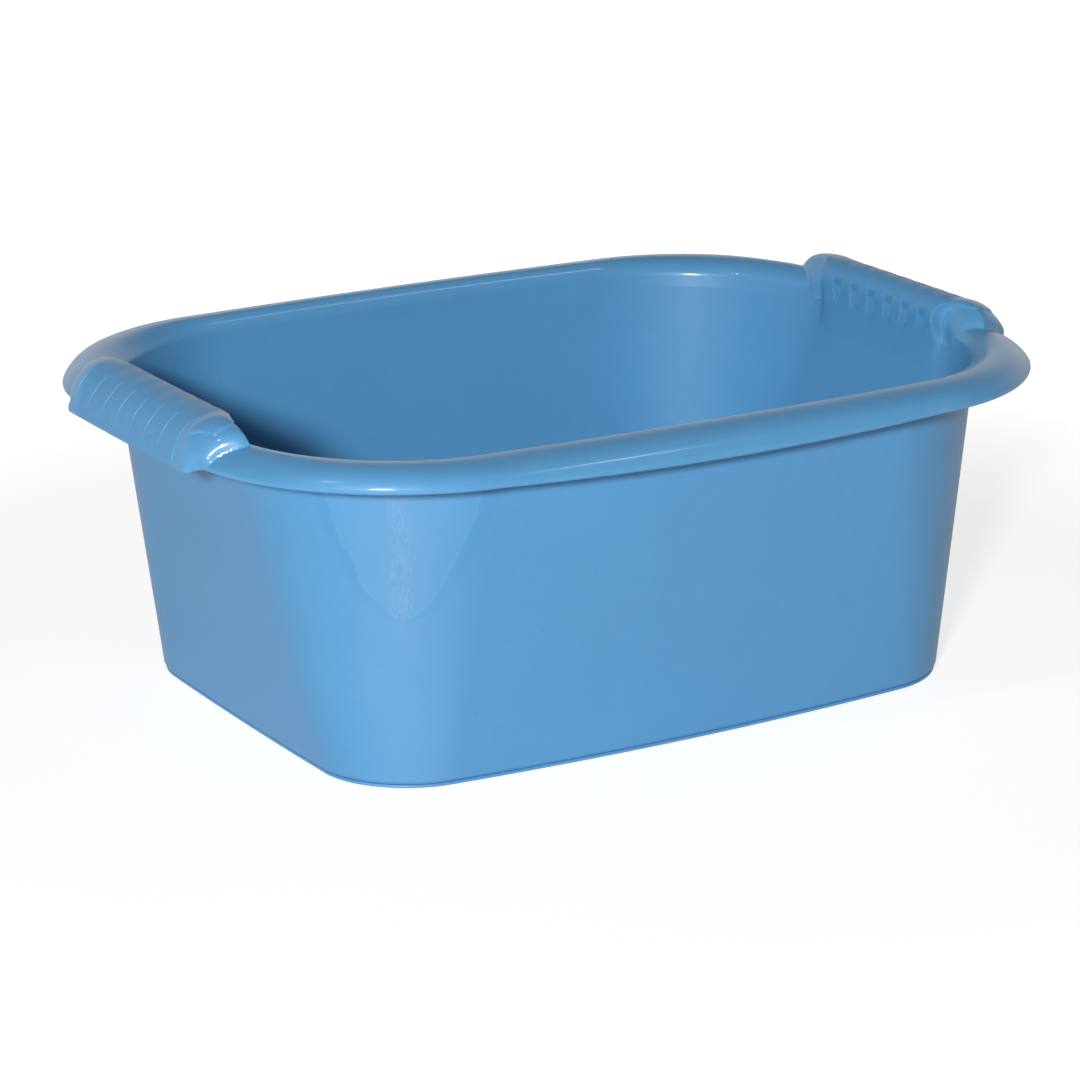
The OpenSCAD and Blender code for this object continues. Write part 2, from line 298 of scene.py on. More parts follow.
class Moulding:
    """The bowl's shape, worked out once and shared by all its pieces."""

    def __init__(self, sizes: BowlSizes, grip: GripSizes) -> None:
        """Work out the outlines and levels that the pieces share.

        Args:
            sizes: Driving sizes of the basin and the rim.
            grip: Driving sizes of the grips.
        """
        self.sizes = sizes
        self.grip = grip
        self.lip_line = Outline(sizes.rim_half_length, sizes.rim_half_width, sizes.lip_corner,
                                sizes.lip_bow, sizes.end_bow)
        self.crest_line = Outline(sizes.rim_half_length - sizes.rim_overhang,
                                  sizes.rim_half_width - sizes.rim_overhang,
                                  sizes.crest_corner, sizes.crest_bow, sizes.end_bow)
        self.roll_line = Outline(self.crest_line.half_length - sizes.roll_inset,
                                 self.crest_line.half_width - sizes.roll_inset,
                                 sizes.roll_corner, sizes.crest_bow, sizes.end_bow)
        self.foot_line = Outline(sizes.foot_half_length, sizes.foot_half_width,
                                 sizes.foot_corner, sizes.foot_bow, sizes.foot_end_bow)
        self.floor_line = self.foot_line.grown(-sizes.floor_inset)
        self.grip_line = self.crest_line.grown(grip.shift)
        self.grip_inner_line = self.grip_line.grown(-grip.round_in)
        self.skirt_line = self.grip_line.grown(sizes.skirt_reach - self.grip_line.half_length)
        self.roll_level = sizes.crest_height - sizes.roll_height
        self.lip_level = sizes.crest_height - sizes.lip_drop
        self.end_squeeze = 1 - sizes.crest_bow / self.crest_line.half_width
        self.straight_end = self.crest_line.half_width - self.crest_line.corner
        self.half = sizes.grip_half_length
        self.dome = self.half - grip.flat / 2
        self.face_top = sizes.grip_crest - grip.round_height
        self.reach = self.skirt_line.half_length - self.grip_line.half_length
        drop = sizes.grip_crest - grip.skirt_level
        self.band_angle = math.degrees(math.asin(grip.crest_band / self.reach))
        self.margin_angle = math.degrees(math.acos(grip.flute_margin / drop))
        self.flute_count = int((grip.flat - grip.flute_width) / grip.flute_pitch) + 1

    def inner_line(self, z: float) -> Outline:
        """Return the outline of the basin's inner face at a height."""
        start = self.foot_line.grown(-self.sizes.basin_wall)
        return start.toward(self.roll_line, z / self.roll_level)

    def outer_line(self, z: float) -> Outline:
        """Return the outline of the basin's outer face at a height."""
        return self.inner_line(z).grown(self.sizes.basin_wall)

    def end_station(self, y: float) -> Station:
        """Return the station of the right end at a distance from the end's middle."""
        reach = abs(y) / self.end_squeeze
        sign = 1 if y > 0 else -1
        if reach <= self.straight_end:
            return Station(1, sign * reach / self.straight_end, 1, 0)
        sine = (reach - self.straight_end) / self.crest_line.corner
        return Station(1, sign, math.sqrt(1 - sine * sine), sign * sine)

    def along_end(self, station: Station) -> float:
        """Return a station's distance along the end, past its reach on the long sides."""
        if abs(station.along) < 1:
            return self.sizes.rim_half_width * 2
        sign = -1 if station.across < 0 else 1
        return sign * self.end_squeeze * (self.straight_end * abs(station.across)
                                          + self.crest_line.corner * abs(station.corner_y))

    def dome_share(self, y: float) -> float:
        """Return how far the crest has risen onto the grip, with a dome's round end."""
        foot, soft = self.grip.dome_foot, self.grip.dome_softness
        rise = limited((self.half + foot - abs(y)) / (self.dome + foot))
        eased = rise ** 3 * (1 + soft ** 2) / (rise ** 2 + soft ** 2) if rise else 0.0
        return math.sqrt(1 - (1 - eased) ** 2)

    def outer_share(self, y: float, angle: float) -> float:
        """Return how much of the hood there is on the outer side, less towards the lip."""
        first = self.grip.skirt_angle
        retreat = self.grip.dome_retreat * smooth(angle / first)
        softness = smooth((angle - first) / (90 - first))
        return mix(self.dome_share(abs(y) + retreat), self.skirt_share(y), softness)

    def ball_share(self, y: float) -> float:
        """Return how far the inner round has come down from the flutes to the rim."""
        left = limited((self.half - abs(y)) / self.grip.ball_length)
        return (1 - left) ** self.grip.ball_power

    def crest_spot(self, y: float) -> Spot:
        """Return the highest spot of the section."""
        share = self.dome_share(y)
        return Spot(self.crest_line.toward(self.grip_line, share),
                    mix(self.sizes.crest_height, self.sizes.grip_crest, share))

    def inner_base(self, y: float, root_z: float) -> Spot:
        """Return the foot of the inner round, on the straight face above the joint."""
        z = mix(self.face_top, self.roll_level, self.ball_share(y))
        return Spot(self.inner_face(y, root_z, z), z)

    def inner_face(self, y: float, root_z: float, z: float) -> Outline:
        """Return the inner face's outline, bent softly where a grip meets the wall.

        Args:
            y: Distance along the end.
            root_z: Height of the joint between the two.
            z: Height of the wanted outline, below the inner round.

        Returns:
            The outline.
        """
        flat = self.grip.ledge_half_length
        top = self.grip_inner_line.toward(self.inner_line(self.face_top),
                                          smooth((abs(y) - flat) / (self.half - flat)))
        rise = self.face_top - root_z
        reach = min(self.grip.joint_softness, rise * self.grip.joint_limit)
        root = self.inner_line(root_z)
        if z <= root_z - reach:
            return self.inner_line(z)
        if z >= root_z + reach:
            return root.toward(top, (z - root_z) / rise)
        place = (z - root_z + reach) / (2 * reach)
        first = self.inner_line(root_z - reach).toward(root, place)
        return first.toward(root.toward(root.toward(top, reach / rise), place), place)

    def skirt_share(self, y: float) -> float:
        """Return how far the lip has become the grip's skirt, from 0 to 1."""
        return smooth((self.half - self.grip.skirt_margin - abs(y)) / self.grip.skirt_fall)

    def shoulder_share(self, y: float) -> float:
        """Return how far the outer round is flattened beside a grip, from 0 to 1."""
        grip = self.grip
        return (smooth((abs(y) - self.half + grip.shoulder_length) / grip.skirt_fall)
                * smooth((self.half + grip.shoulder_spread - abs(y)) / grip.shoulder_length))

    def wall_root(self, station: Station) -> float:
        """Return the height at which the rim or a grip meets the basin's wall."""
        share = smooth((self.half - abs(self.along_end(station))) / self.dome)
        return mix(self.sizes.rim_joint, self.sizes.grip_root, share)

    def lip_height(self, station: Station) -> float:
        """Return the height of the lip edge, which hangs lower along the long sides."""
        return self.lip_level - self.sizes.lip_sag * (1 - station.along ** 2)

    def flute_middles(self) -> list[float]:
        """Return the places of the flutes along a grip."""
        middle = (self.flute_count - 1) / 2
        return [(i - middle) * self.grip.flute_pitch for i in range(self.flute_count)]

    def flute_share(self, y: float) -> float:
        """Return 1 inside a flute and 0 on a land, with a narrow slope between."""
        nearest = min(abs(y - middle) for middle in self.flute_middles())
        inside = self.grip.flute_width / 2 + self.grip.flute_edge / 2 - nearest
        return limited(inside / self.grip.flute_edge)

    def fluted_share(self, y: float) -> float:
        """Return 1 along the flutes, whose outer side is flatter, and 0 on the domes."""
        return smooth((self.grip.flat / 2 - abs(y)) / self.grip.flute_fade)

    def ripple_share(self, y: float) -> float:
        """Return 1 at a flute's middle, with a soft wave down to 0 between the flutes."""
        nearest = min(abs(y - middle) for middle in self.flute_middles())
        return 0.5 + 0.5 * math.cos(math.pi * min(1.0, nearest * 2 / self.grip.flute_pitch))

    def ripple(self, y: float) -> float:
        """Return how deep the crest is between the recesses of a flute."""
        grip = self.grip
        return grip.ripple_depth * self.ripple_share(y) + grip.line_depth * self.flute_share(y)

    def dome_part(self, y: float, turn: float, z: float) -> float:
        """Return whether a place lies on a dome, past the arc where the fluted part ends.

        Args:
            y: Distance along the end.
            turn: Angle from the crest in degrees, above 0 on the outer side.
            z: Height above the table.

        Returns:
            1 on a dome and 0 on the fluted part, with a narrow slope between.
        """
        grip = self.grip
        start = grip.arc_outer_start if turn > 0 else grip.arc_inner_start
        first = grip.arc_outer_angle if turn > 0 else grip.arc_inner_angle
        fall = limited((abs(turn) - first) / (90 - first))
        place = start + (grip.arc_half_length - start) * (1 - fall) ** grip.arc_power
        drop = (grip.arc_low_level + grip.arc_low_height - z) / grip.arc_low_height
        if turn < 0 and drop > 0:
            place = start + grip.arc_low_length * (1 - math.sqrt(max(0.0, 1 - drop ** 2)))
            place += grip.arc_low_length * max(0.0, drop - 1) * grip.arc_low_slope
        if y > 0:
            place += grip.arc_far_shift
        return smooth((abs(y) - place) / grip.arc_softness + 0.5)

    def hood_cut(self, y: float, turn: float, z: float, flute: float) -> float:
        """Return how deep the surface lies under the plain hood: a flute, or the dome's step.

        Args:
            y: Distance along the end.
            turn: Angle from the crest in degrees, above 0 on the outer side.
            z: Height above the table.
            flute: The depth of the flute at this place.

        Returns:
            The depth.
        """
        grip = self.grip
        fade = 1 - smooth((abs(y) - grip.arc_half_length) / (self.half - grip.arc_half_length))
        fade *= 1 - smooth((turn - self.margin_angle) / grip.end_angle)
        return mix(flute, grip.arc_step * fade, self.dome_part(y, turn, z))

    def outer_cut(self, y: float, angle: float) -> float:
        """Return how deep a flute is on the outer side, at an angle from the crest."""
        grip = self.grip
        begun = smooth((angle - self.band_angle) / grip.end_angle)
        ended = limited((angle - self.band_angle) / (self.margin_angle - self.band_angle))
        deep = grip.flute_depth * (1 - ended ** 2) * self.flute_share(y)
        shallow = self.ripple(y) * (1 - ended)
        return mix(shallow, deep, begun)

    def inner_cut(self, y: float, height: float) -> float:
        """Return how deep a flute is on the inner side.

        Args:
            y: Distance along the end.
            height: Height above the foot of the inner round, below 0 on the straight face.

        Returns:
            The depth, with a ledge that slopes in from below and a steep face above it.
        """
        grip = self.grip
        if height < grip.ledge_up:
            slope = limited((height - grip.ledge_up + grip.ledge_slope) / grip.ledge_slope)
            depth = grip.ledge_depth * slope ** grip.ledge_power * self.flute_share(y)
        else:
            share = limited((height - grip.ledge_up) / grip.ledge_face)
            depth = mix(grip.ledge_depth * self.flute_share(y), self.ripple(y), share)
        ends = smooth((grip.ledge_half_length - abs(y)) / grip.flute_edge)
        return depth * (ends if height < grip.ledge_up + grip.ledge_face else 1.0)

    def lip_seam(self, station: Station, angle: float) -> float:
        """Return the height of the parting seam that runs round the rim above its lip."""
        sizes = self.sizes
        spot = self.lip_line.place(station, 0.0)
        near = 1 - limited(abs(angle - sizes.seam_angle) / sizes.seam_width)
        grain = noise.noise(spot * sizes.seam_scale)
        rough = limited(sizes.seam_base + grain * sizes.seam_contrast)
        return sizes.seam_height * near * rough * (1 - self.skirt_share(self.along_end(station)))

    def seam(self, y: float, angle: float) -> float:
        """Return the height of the rough parting seam above a grip's skirt."""
        grip = self.grip
        wander = noise.noise(Vector((y * grip.wander_scale, grip.wander_row, 0))) * grip.seam_width
        near = 1 - limited(abs(angle - self.margin_angle - wander) / grip.seam_width)
        grain = noise.noise(Vector((y * grip.seam_scale, grip.seam_row, 0)))
        rough = limited(grip.seam_base + grain * grip.seam_contrast)
        return grip.seam_height * near * rough * self.skirt_share(y)


@dataclass(frozen=True)
class SectionDetail:
    """How finely the section of the rim or a grip is divided."""

    straight_steps: int
    inner_steps: int
    outer_steps: int
    under_steps: int
    edge_steps: int
    fluted: bool


class Section:
    """Closed section of the rim or a grip, from its underside round to its outer surface."""

    EDGE_SHARE = 0.42
    UNDER_PLACES = (0.0, 0.5)
    FADE_RATE = 4

    def __init__(self, moulding: Moulding, detail: SectionDetail) -> None:
        """Keep the shape and how finely it is divided.

        Args:
            moulding: The bowl's shape.
            detail: The number of steps along each stretch.
        """
        self.moulding = moulding
        self.detail = detail
        self.edge_radius = moulding.sizes.rim_wall * self.EDGE_SHARE
        self.straight = spread(0, 1, detail.straight_steps)[:-1]
        self.inner_angles = spread(0, 90, detail.inner_steps)[:-1]
        self.outer_angles = spread(0, 90, detail.outer_steps)
        self.under_angles = spread(0, 90, detail.under_steps)
        self.edge_angles = spread(0, 90, detail.edge_steps)[1:]
        self.roll_start = sum(a < moulding.sizes.roll_start for a in self.inner_angles)

    def surface(self, station: Station, depth: float) -> list[Vector]:
        """Return the points of one surface at a station, from the wall to the lip.

        Args:
            station: The place round the bowl.
            depth: 0 on the outer surface, the plastic's thickness on the underside.

        Returns:
            The points in order.
        """
        return self.inner_side(station, depth) + self.outer_side(station, depth)

    def inner_side(self, station: Station, depth: float) -> list[Vector]:
        """Return the points from the wall up to the crest, which is left out.

        Args:
            station: The place round the bowl.
            depth: 0 on the outer surface, the plastic's thickness on the underside.

        Returns:
            The points in order.
        """
        shape, grip = self.moulding, self.moulding.grip
        y = shape.along_end(station)
        root_z = shape.wall_root(station)
        base = shape.inner_base(y, root_z)
        fluted = self.detail.fluted and not depth
        points: list[Vector] = []
        for place in self.straight if not depth else self.UNDER_PLACES:
            z = mix(root_z, base.z, place)
            if depth:
                line = shape.outer_line(root_z).toward(base.line.grown(depth), place)
            else:
                line = shape.inner_face(y, root_z, z)
            if fluted:
                flute = shape.inner_cut(y, z - base.z)
                line = line.grown(shape.hood_cut(y, -90, z, flute) * smooth(place * self.FADE_RATE))
            points.append(line.place(station, z))
        for angle in self.inner_angles if not depth else self.under_angles[:-1]:
            spot, outward, upward = self.inner_spot(y, base, angle)
            cut = depth
            if fluted:
                flute = shape.inner_cut(y, upward * grip.round_height)
                cut = shape.hood_cut(y, angle - 90, spot.z, flute)
            spot = spot.moved(cut * outward, -cut * upward)
            points.append(spot.line.place(station, spot.z))
        return points if depth else self.eased(points, 1 - shape.dome_share(y))

    def inner_spot(self, y: float, base: Spot, angle: float) -> tuple[Spot, float, float]:
        """Return a spot of the inner round.

        Args:
            y: Distance along the end.
            base: The round's foot.
            angle: Angle from the round's foot, in degrees.

        Returns:
            The spot, and the shares of its way that lie outward and upward.
        """
        shape = self.moulding
        full = mix(ELLIPSE, shape.grip.fullness, shape.dome_share(y))
        outward = max(0.0, math.cos(math.radians(angle))) ** (2 / full)
        upward = math.sin(math.radians(angle)) ** (2 / full)
        crest = shape.crest_spot(y)
        spot = Spot(crest.line.toward(base.line, outward), mix(base.z, crest.z, upward))
        return spot, outward, upward

    def eased(self, points: list[Vector], share: float) -> list[Vector]:
        """Return the inner side's points with the start of the roll drawn straight.

        Args:
            points: The points from the wall to the crest.
            share: How much of the straightening is wanted.

        Returns:
            The points in order.
        """
        first = len(self.straight) + self.roll_start
        start, end = points[0], points[first]
        for i in range(1, first):
            place = (points[i].z - start.z) / (end.z - start.z)
            points[i] = points[i].lerp(start.lerp(end, place), share)
        return points

    def outer_side(self, station: Station, depth: float) -> list[Vector]:
        """Return the points from the crest out and down to the rounded lip edge.

        Args:
            station: The place round the bowl.
            depth: 0 on the outer surface, the plastic's thickness on the underside.

        Returns:
            The points in order.
        """
        shape = self.moulding
        y = shape.along_end(station)
        points: list[Vector] = []
        spot = Spot(shape.lip_line, 0.0)
        for angle in self.outer_angles if not depth else self.under_angles:
            spot, outward, upward = self.outer_spot(station, y, angle)
            cut = depth
            if not depth:
                cut = -shape.lip_seam(station, angle)
            if self.detail.fluted and not depth:
                flute = shape.outer_cut(y, angle)
                cut += shape.hood_cut(y, angle, spot.z, flute) - shape.seam(y, angle)
            moved = spot.moved(-cut * outward, -cut * upward)
            points.append(moved.line.place(station, moved.z))
        inward = 1 if depth else -1
        edge = spot.moved(-depth, 0.0)
        for angle in self.edge_angles:
            turn = math.radians(angle)
            line = edge.line.grown(inward * self.edge_radius * (1 - math.cos(turn)))
            points.append(line.place(station, edge.z - self.edge_radius * math.sin(turn)))
        return points

    def outer_spot(self, station: Station, y: float,
                   angle: float) -> tuple[Spot, float, float]:
        """Return a spot of the outer round.

        Args:
            station: The place round the bowl.
            y: Distance along the end.
            angle: Angle from the crest, in degrees.

        Returns:
            The spot, and the shares of its way that lie outward and upward.
        """
        shape, grip, sizes = self.moulding, self.moulding.grip, self.moulding.sizes
        edge_z = mix(shape.lip_height(station), grip.skirt_level, shape.skirt_share(y))
        low = edge_z + self.edge_radius
        share = shape.outer_share(y, angle)
        flat = mix(ELLIPSE, grip.shoulder_fullness, shape.shoulder_share(y))
        hooded = mix(ELLIPSE, grip.flute_fullness, shape.fluted_share(y))
        full = mix(flat, hooded, share)
        outward = math.sin(math.radians(angle)) ** (2 / full)
        upward = max(0.0, math.cos(math.radians(angle))) ** (2 / full)
        rim = Spot(shape.crest_line.toward(shape.lip_line, outward),
                   mix(low, sizes.crest_height, upward))
        hood = Spot(shape.grip_line.toward(shape.skirt_line, outward),
                    mix(low, sizes.grip_crest, upward))
        return rim.toward(hood, share), outward, upward

    def loop(self, station: Station) -> list[Vector]:
        """Return the closed section at a station, underside first."""
        under = self.surface(station, self.moulding.sizes.rim_wall)
        return under + self.surface(station, 0.0)[::-1]


class Sweep:
    """Builds a solid from closed loops of points that follow one another."""

    def __init__(self) -> None:
        """Start with an empty mesh."""
        self.mesh = bmesh.new()

    def first(self, points: Sequence[Vector]) -> list[bmesh.types.BMVert]:
        """Lay the first loop.

        Args:
            points: The loop's points in order.

        Returns:
            The loop's vertices in order.
        """
        made = bmesh.ops.create_circle(self.mesh, segments=len(points), radius=1.0,
                                       cap_ends=False)
        ring = list(made["verts"])
        for vertex, point in zip(ring, points):
            vertex.co = point
        return ring

    def edges(self, ring: Sequence[bmesh.types.BMVert]) -> list[bmesh.types.BMEdge]:
        """Return the edges of a loop."""
        pairs = zip(ring, list(ring[1:]) + [ring[0]])
        return [self.mesh.edges.get(pair) for pair in pairs]

    def extend(self, ring: Sequence[bmesh.types.BMVert],
               points: Sequence[Vector]) -> list[bmesh.types.BMVert]:
        """Extrude a loop to its next place.

        Args:
            ring: The vertices of the last loop.
            points: The places of the next loop's vertices.

        Returns:
            The next loop's vertices in order.
        """
        made = bmesh.ops.extrude_edge_only(self.mesh, edges=self.edges(ring))
        fresh = {item for item in made["geom"] if isinstance(item, bmesh.types.BMVert)}
        following = []
        for vertex, point in zip(ring, points):
            partner = next(edge.other_vert(vertex) for edge in vertex.link_edges
                           if edge.other_vert(vertex) in fresh)
            partner.co = point
            following.append(partner)
        return following

    def run(self, loops: Sequence[Sequence[Vector]], closed: bool) -> "Sweep":
        """Sweep through all the loops.

        Args:
            loops: The loops, all with the same number of points.
            closed: True to end on the first loop, False to cap both ends.

        Returns:
            This sweep.
        """
        start = self.first(loops[0])
        ring = start
        for points in loops[1:]:
            ring = self.extend(ring, points)
        if closed:
            self.extend(ring, loops[0])
            bmesh.ops.remove_doubles(self.mesh, verts=self.mesh.verts[:], dist=JOIN_DISTANCE)
        else:
            for cap in (start, ring):
                self.cap(cap)
        return self

    def cap(self, ring: Sequence[bmesh.types.BMVert]) -> None:
        """Close one end of the sweep."""
        made = bmesh.ops.contextual_create(self.mesh, geom=self.edges(ring))
        bmesh.ops.triangulate(self.mesh, faces=made["faces"], ngon_method="EAR_CLIP")

    def finish(self, name: str) -> bpy.types.Object:
        """Turn the mesh into a smooth-shaded object with its sharp edges kept, and return it."""
        bmesh.ops.recalc_face_normals(self.mesh, faces=self.mesh.faces[:])
        for face in self.mesh.faces:
            face.smooth = True
        for edge in self.mesh.edges:
            edge.smooth = edge.calc_face_angle(0.0) < SHARP_ANGLE
        data = bpy.data.meshes.new(name)
        self.mesh.to_mesh(data)
        self.mesh.free()
        piece = bpy.data.objects.new(name, data)
        bpy.context.scene.collection.objects.link(piece)
        return piece


class Round:
    """The stations all the way round the bowl, and of each piece's own stretch."""

    STEP = 1.3 * MM
    DOME_STEP = 0.6 * MM
    DOME_MARGIN = 1 * MM
    LEAST_STEP = 0.05 * MM
    EDGE_PLACES = (0.0, 1.0)
    EDGE_CLEARANCE = 0.6
    BESIDE_GRIP = (0.4, 0.9, 1.5, 2.2, 3.0, 4.0, 5.0, 6.2, 7.6)

    def __init__(self, moulding: Moulding, corner_steps: int = 70, side_steps: int = 48) -> None:
        """Work out the stations.

        Args:
            moulding: The bowl's shape.
            corner_steps: Steps round each corner, past the grip.
            side_steps: Steps along each half of a long side.
        """
        self.moulding = moulding
        near = [moulding.end_station(moulding.half + step * MM) for step in self.BESIDE_GRIP]
        start = moulding.end_station(moulding.half)
        first = math.degrees(math.atan2(near[-1].corner_y, near[-1].corner_x))
        corner = [Station(1, 1, math.cos(math.radians(a)), math.sin(math.radians(a)))
                  for a in spread(first, 90, corner_steps)[1:]]
        side = [Station(1 - place, 1, 0, 1) for place in spread(0, 1, side_steps)[1:]]
        quarter = [start] + near + corner + side
        self.back = quarter + [s.flipped(-1, 1) for s in quarter[-2::-1]]
        self.places = self.grip_places()

    def grip_places(self) -> list[float]:
        """Return the distances along an end at which a grip's section is taken."""
        shape, grip = self.moulding, self.moulding.grip
        half, domes = shape.half, grip.arc_inner_start - self.DOME_MARGIN
        places = spread(-half, half, round(2 * half / self.STEP))
        for place in spread(domes, half, round((half - domes) / self.DOME_STEP)):
            places += [-place, place]
        edges = []
        for middle in shape.flute_middles():
            for sign in (-1, 1):
                for share in self.EDGE_PLACES:
                    offset = grip.flute_width / 2 + grip.flute_edge * (share - 0.5)
                    edges.append(middle + sign * offset)
        clear = grip.flute_edge * self.EDGE_CLEARANCE
        kept = [y for y in places
                if min(abs(y - edge) for edge in edges) > clear or abs(y) == half]
        return thinned(kept + edges, self.LEAST_STEP)

    def rim(self, side: Side) -> list[Station]:
        """Return the stations of the rim along one long side, from right to left."""
        return [s.flipped(1, side.value) for s in self.back]

    def grip(self, end: End) -> list[Station]:
        """Return the stations of one grip, from its front end to its back end."""
        return [self.moulding.end_station(y).flipped(end.value, 1) for y in self.places]

    def ring(self) -> list[Station]:
        """Return the stations all the way round, without naming a shared one twice."""
        right, left = self.grip(End.RIGHT), self.grip(End.LEFT)[::-1]
        front = self.rim(Side.FRONT)[::-1]
        return right[1:] + self.back[1:] + left[1:] + front[1:]


class Basin:
    """The floor, the foot bead and the sloping wall."""

    BEAD_ROUND = 0.45
    BEAD_ANGLES = (90, 60, 30, 0)
    FOOT_ANGLE = 30
    FOOT_STEPS = 6
    OUTER_STEPS = 8
    FILLET_STEPS = 10
    INNER_PLACES = (1, 0.97, 0.94, 0.91, 0.88, 0.84, 0.75, 0.6, 0.4, 0.2)

    def __init__(self, moulding: Moulding, round_: Round) -> None:
        """Keep the shape and the stations.

        Args:
            moulding: The bowl's shape.
            round_: The stations round the bowl.
        """
        self.moulding = moulding
        self.stations = round_.ring()

    def level(self, line: Outline, z: float) -> list[Vector]:
        """Return an outline's points at one height."""
        return [line.place(station, z) for station in self.stations]

    def floor(self) -> bpy.types.Object:
        """Return the floor, a plate whose outline is extruded upwards."""
        sizes = self.moulding.sizes
        sweep = Sweep()
        ring = sweep.first(self.level(self.moulding.floor_line, 0.0))
        face = bmesh.ops.contextual_create(sweep.mesh, geom=sweep.edges(ring))["faces"]
        made = bmesh.ops.extrude_face_region(sweep.mesh, geom=face, use_keep_orig=True)
        raised = [item for item in made["geom"] if isinstance(item, bmesh.types.BMVert)]
        bmesh.ops.translate(sweep.mesh, verts=raised, vec=(0, 0, sizes.floor_thickness))
        return sweep.finish("floor_plate")

    def bead(self) -> bpy.types.Object:
        """Return the foot bead, with its outer edges rounded."""
        sizes, shape = self.moulding.sizes, self.moulding
        radius = sizes.bead_height * self.BEAD_ROUND
        outer = shape.foot_line.grown(-sizes.bead_inset)
        loops = [self.level(shape.floor_line, sizes.bead_height),
                 self.level(shape.floor_line, 0.0)]
        upper = [-angle for angle in reversed(self.BEAD_ANGLES)]
        for middle, angles in ((radius, self.BEAD_ANGLES), (sizes.bead_height - radius, upper)):
            for angle in angles:
                turn = math.radians(angle)
                line = outer.grown(-radius * (1 - math.cos(turn)))
                loops.append(self.level(line, middle - radius * math.sin(turn)))
        return Sweep().run(loops, closed=True).finish("foot_ring")

    def wall(self) -> bpy.types.Object:
        """Return the wall, from the bead up its outer face and down its inner face."""
        sizes, shape = self.moulding.sizes, self.moulding
        loops = [self.level(shape.floor_line, sizes.bead_height)]
        radius = sizes.outer_fillet
        low = radius * (1 - math.cos(math.radians(self.FOOT_ANGLE)))
        for angle in spread(self.FOOT_ANGLE, 90, self.FOOT_STEPS):
            turn = math.radians(angle)
            z = sizes.bead_height + radius * (1 - math.cos(turn))
            line = shape.outer_line(z).grown(-radius * (1 - math.sin(turn)))
            loops.append(self.level(line, z - low))
        base = sizes.bead_height + radius - low
        for place in spread(0, 1, self.OUTER_STEPS)[1:]:
            loops.append([self.outer_point(s, base, place) for s in self.stations])
        radius = sizes.inner_fillet
        foot = sizes.floor_thickness + radius
        for place in self.INNER_PLACES:
            loops.append([self.inner_point(s, foot, place) for s in self.stations])
        for angle in spread(90, 0, self.FILLET_STEPS):
            turn = math.radians(angle)
            z = sizes.floor_thickness + radius * (1 - math.cos(turn))
            line = shape.inner_line(z).grown(-radius * (1 - math.sin(turn)))
            loops.append(self.level(line, z))
        loops.append(self.level(shape.floor_line, sizes.floor_thickness))
        return Sweep().run(loops, closed=True).finish("basin_shell")

    def outer_point(self, station: Station, start: float, place: float) -> Vector:
        """Return a point of the wall's outer face, at a share of the way from its foot."""
        z = mix(start, self.moulding.wall_root(station), place)
        return self.moulding.outer_line(z).place(station, z)

    def inner_point(self, station: Station, start: float, place: float) -> Vector:
        """Return a point of the wall's inner face, at a share of the way from its foot."""
        shape = self.moulding
        root_z = shape.wall_root(station)
        z = mix(start, root_z, place)
        return shape.inner_face(shape.along_end(station), root_z, z).place(station, z)


class Rim:
    """The rolled rim along one long side and its two corners."""

    DETAIL = SectionDetail(straight_steps=2, inner_steps=14, outer_steps=36, under_steps=8,
                           edge_steps=4, fluted=False)

    def __init__(self, moulding: Moulding, round_: Round, side: Side) -> None:
        """Keep the shape, the stations and the side.

        Args:
            moulding: The bowl's shape.
            round_: The stations round the bowl.
            side: The long side that the rim runs along.
        """
        self.section = Section(moulding, self.DETAIL)
        self.stations = round_.rim(side)
        self.side = side

    def build(self) -> bpy.types.Object:
        """Return the rim, swept from one grip to the other."""
        loops = [self.section.loop(station) for station in self.stations]
        name = f"rolled_rim_{self.side.name.lower()}"
        return Sweep().run(loops, closed=False).finish(name)


class Grip:
    """A hooded grip, with finger flutes, ledges, a skirt and domed ends."""

    DETAIL = SectionDetail(straight_steps=14, inner_steps=34, outer_steps=60, under_steps=8,
                           edge_steps=4, fluted=True)

    def __init__(self, moulding: Moulding, round_: Round, end: End) -> None:
        """Keep the shape, the stations and the end.

        Args:
            moulding: The bowl's shape.
            round_: The stations round the bowl.
            end: The end of the bowl that the grip stands at.
        """
        self.section = Section(moulding, self.DETAIL)
        self.end = end
        self.stations = round_.grip(end)

    def build(self) -> bpy.types.Object:
        """Return the grip, swept from its front end to its back end."""
        loops = [self.section.loop(station) for station in self.stations]
        name = f"hooded_grip_{self.end.name.lower()}"
        return Sweep().run(loops, closed=False).finish(name)


Operand = Union["Signal", Number]


def operator(operation: str, reflected: bool = False) -> Callable[["Signal", Operand], "Signal"]:
    """Return a method that joins a signal with another value.

    Args:
        operation: What the Math node does.
        reflected: True to put the other value first.

    Returns:
        The method.
    """
    def method(self: "Signal", other: Operand) -> "Signal":
        """Return the joined signal."""
        return self.flipped(operation, other) if reflected else self.joined(operation, other)
    return method


